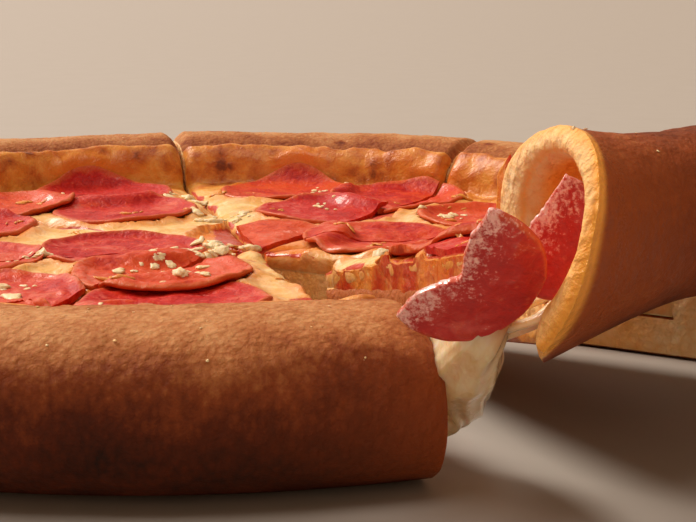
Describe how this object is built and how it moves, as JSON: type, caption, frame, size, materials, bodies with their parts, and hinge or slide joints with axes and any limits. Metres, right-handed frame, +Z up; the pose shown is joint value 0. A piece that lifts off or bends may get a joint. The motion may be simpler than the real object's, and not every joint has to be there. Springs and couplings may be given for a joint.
{
  "type": "stuffed crust pizza",
  "caption": "Round pepperoni pizza with a thick cheese-filled rim, cut into wedges, one of them drawn outwards and joined by stretched cheese.",
  "frame": {"origin": "under the middle of the whole object's box, on the surface it rests on", "axes": "+Z up; -Y towards the front, where the drawn-out wedge's cut end faces; +Y along the longest extent"},
  "size_m": [0.3038, 0.3225, 0.0595],
  "materials": {
    "baked_dough": "baked, fine-grained, matt",
    "melted_cheese": "oily, golden with browned spots",
    "stretched_cheese": "smooth, moist, ivory",
    "pepperoni": "oily, marbled red"
  },
  "bodies": {
    "root": {"draped_pepperoni": "pepperoni", "mouth_pepperoni": "pepperoni", "slice_1_cheese": "melted_cheese", "slice_1_dough": "baked_dough", "slice_1_filling": "stretched_cheese", "slice_1_pepperoni_1": "pepperoni", "slice_1_pepperoni_2": "pepperoni", "slice_1_pepperoni_3": "pepperoni", "slice_2_cheese": "melted_cheese", "slice_2_dough": "baked_dough", "slice_2_filling": "stretched_cheese", "slice_2_pepperoni_1": "pepperoni", "slice_2_pepperoni_2": "pepperoni", "slice_2_pepperoni_3": "pepperoni", "slice_3_cheese": "melted_cheese", "slice_3_dough": "baked_dough", "slice_3_filling": "stretched_cheese", "slice_3_pepperoni_1": "pepperoni", "slice_3_pepperoni_2": "pepperoni", "slice_3_pepperoni_3": "pepperoni", "slice_4_cheese": "melted_cheese", "slice_4_dough": "baked_dough", "slice_4_filling": "stretched_cheese", "slice_4_pepperoni_1": "pepperoni", "slice_4_pepperoni_2": "pepperoni", "slice_4_pepperoni_3": "pepperoni", "slice_4_pepperoni_4": "pepperoni", "slice_5_cheese": "melted_cheese", "slice_5_dough": "baked_dough", "slice_5_filling": "stretched_cheese", "slice_5_pepperoni_1": "pepperoni", "slice_5_pepperoni_2": "pepperoni", "slice_5_pepperoni_3": "pepperoni", "slice_6_cheese": "melted_cheese", "slice_6_dough": "baked_dough", "slice_6_filling": "stretched_cheese", "slice_6_pepperoni_1": "pepperoni", "slice_6_pepperoni_2": "pepperoni", "slice_6_pepperoni_3": "pepperoni", "slice_6_pepperoni_4": "pepperoni", "slice_7_cheese": "melted_cheese", "slice_7_dough": "baked_dough", "slice_7_filling": "stretched_cheese", "slice_7_pepperoni_1": "pepperoni", "slice_7_pepperoni_2": "pepperoni", "slice_7_pepperoni_3": "pepperoni", "slice_7_pepperoni_4": "pepperoni", "slice_7_pepperoni_5": "pepperoni", "slice_7_pepperoni_6": "pepperoni", "slice_8_cheese": "melted_cheese", "slice_8_dough": "baked_dough", "slice_8_filling": "stretched_cheese", "slice_8_pepperoni_1": "pepperoni", "slice_8_pepperoni_2": "pepperoni", "slice_8_pepperoni_3": "pepperoni", "slice_8_pepperoni_4": "pepperoni", "slice_8_pepperoni_5": "pepperoni", "stretched_cheese": "stretched_cheese"}
  },
  "joints": []
}
